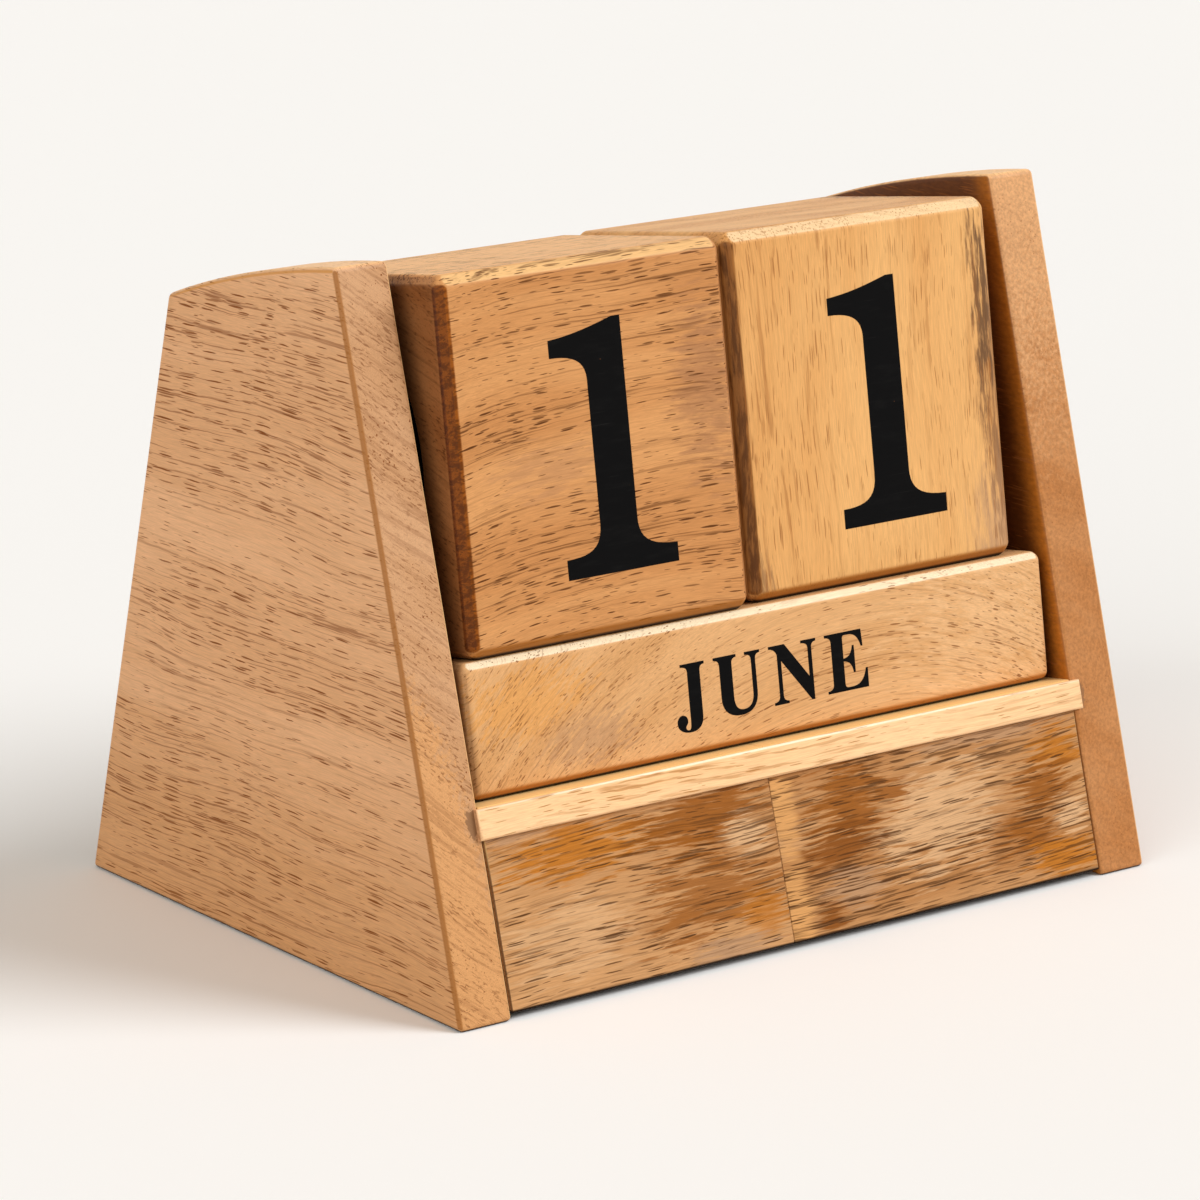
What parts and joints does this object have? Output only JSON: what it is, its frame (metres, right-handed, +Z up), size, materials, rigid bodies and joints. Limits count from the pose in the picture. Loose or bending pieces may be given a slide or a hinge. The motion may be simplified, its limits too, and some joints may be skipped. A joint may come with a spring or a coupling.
{
  "type": "wooden block calendar",
  "caption": "Desk calendar of varnished wood: a case with leaning side panels holds lift-out number blocks over a tilted row of loose month bars.",
  "frame": {"origin": "centre of the case's footprint, on the surface that it stands on", "axes": "+Z up, -Y is the front that shows the date, +X to the viewer's right"},
  "size_m": [0.1274, 0.0956, 0.1029],
  "materials": {
    "panel_wood": "satin varnish",
    "mottled_wood": "satin varnish",
    "pale_wood": "satin varnish",
    "inner_wood": "satin varnish",
    "tan_block_wood": "satin varnish",
    "honey_block_wood": "satin varnish",
    "bar_wood": "satin varnish",
    "dowel_wood": "satin varnish"
  },
  "bodies": {
    "case": {"left_side_panel": "panel_wood", "right_side_panel": "panel_wood", "front_board_left": "mottled_wood", "front_board_right": "mottled_wood", "ledge_strip": "pale_wood", "seat_board": "inner_wood", "back_board": "inner_wood", "front_board_dowels": "dowel_wood", "front_joint_dowels": "dowel_wood", "seat_dowels": "dowel_wood", "back_board_dowels": "dowel_wood"},
    "left_block": {"number_block_left": "tan_block_wood"},
    "right_block": {"number_block_right": "honey_block_wood"},
    "front_bar": {"month_bar_front": "bar_wood"},
    "middle_bar": {"month_bar_middle": "bar_wood"},
    "rear_bar": {"month_bar_rear": "bar_wood"}
  },
  "joints": [
    {"name": "left_block_lift", "type": "slide", "parent": "case", "child": "left_block", "axis": [0, 0.1478, 0.989], "range_m": [0, 0.06]},
    {"name": "right_block_lift", "type": "slide", "parent": "case", "child": "right_block", "axis": [0, 0.1478, 0.989], "range_m": [0, 0.06]},
    {"name": "front_bar_slide", "type": "slide", "parent": "case", "child": "front_bar", "axis": [0, -0.989, 0.1478], "range_m": [0, 0.0402]},
    {"name": "middle_bar_slide", "type": "slide", "parent": "case", "child": "middle_bar", "axis": [0, -0.989, 0.1478], "range_m": [0, 0.0201]},
    {"name": "rear_bar_slide", "type": "slide", "parent": "case", "child": "rear_bar", "axis": [0, -0.989, 0.1478], "range_m": [0, 0.0201]}
  ],
  "couplings": [
    {"joint": "middle_bar_slide", "follows": "front_bar_slide", "ratio": 0.5},
    {"joint": "rear_bar_slide", "follows": "front_bar_slide", "ratio": 0.5}
  ]
}
